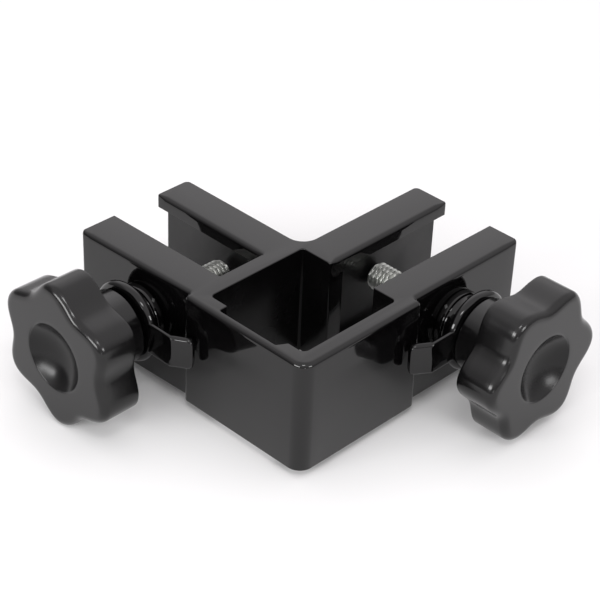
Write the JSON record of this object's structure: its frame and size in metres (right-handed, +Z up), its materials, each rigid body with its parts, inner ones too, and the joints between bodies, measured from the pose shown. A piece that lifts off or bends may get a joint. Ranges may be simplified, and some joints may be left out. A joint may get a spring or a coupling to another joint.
{
  "type": "corner clamp bracket",
  "caption": "Black moulded corner bracket with a square post socket and two screw clamps set at right angles, each with a star knob and a lock lever.",
  "frame": {"origin": "centre line of the square post socket, at the underside of the body", "axes": "+Z up along the socket; +X along the right pair of arms; +Y along the left pair of arms"},
  "size_m": [0.1365, 0.1353, 0.051],
  "materials": {
    "black_moulding": "gloss",
    "zinc_steel": "satin"
  },
  "bodies": {
    "bracket": {"bracket_body": "black_moulding", "left_arm_nut": "zinc_steel", "right_arm_nut": "zinc_steel"},
    "left_screw": {"left_clamp_stud": "zinc_steel"},
    "left_knob": {"left_clamp_knob": "black_moulding"},
    "left_lever": {"left_lock_lever": "black_moulding", "left_lever_nut": "zinc_steel"},
    "right_screw": {"right_clamp_stud": "zinc_steel"},
    "right_knob": {"right_clamp_knob": "black_moulding"},
    "right_lever": {"right_lock_lever": "black_moulding", "right_lever_nut": "zinc_steel"}
  },
  "joints": [
    {"name": "left_screw_travel", "type": "slide", "parent": "bracket", "child": "left_screw", "axis": [1, 0, 0], "range_m": [-0.0205, 0.0012]},
    {"name": "left_knob_turn", "type": "hinge", "parent": "left_screw", "child": "left_knob", "pos_m": [-0.02, 0.046, 0.0224], "axis": [1, 0, 0], "range_deg": [-4700, 280]},
    {"name": "left_lever_turn", "type": "hinge", "parent": "bracket", "child": "left_lever", "pos_m": [-0.02, 0.046, 0.0224], "axis": [1, 0, 0], "range_deg": [-180, 0]},
    {"name": "right_screw_travel", "type": "slide", "parent": "bracket", "child": "right_screw", "axis": [0, 1, 0], "range_m": [-0.0215, 0]},
    {"name": "right_knob_turn", "type": "hinge", "parent": "right_screw", "child": "right_knob", "pos_m": [0.046, -0.02, 0.0224], "axis": [0, 1, 0], "range_deg": [-4930, 0]},
    {"name": "right_lever_turn", "type": "hinge", "parent": "bracket", "child": "right_lever", "pos_m": [0.046, -0.02, 0.0224], "axis": [0, 1, 0], "range_deg": [-180, 0]}
  ],
  "couplings": [
    {"joint": "left_knob_turn", "follows": "left_screw_travel", "rad_per_m": 3957.9},
    {"joint": "right_knob_turn", "follows": "right_screw_travel", "rad_per_m": 3957.9}
  ]
}
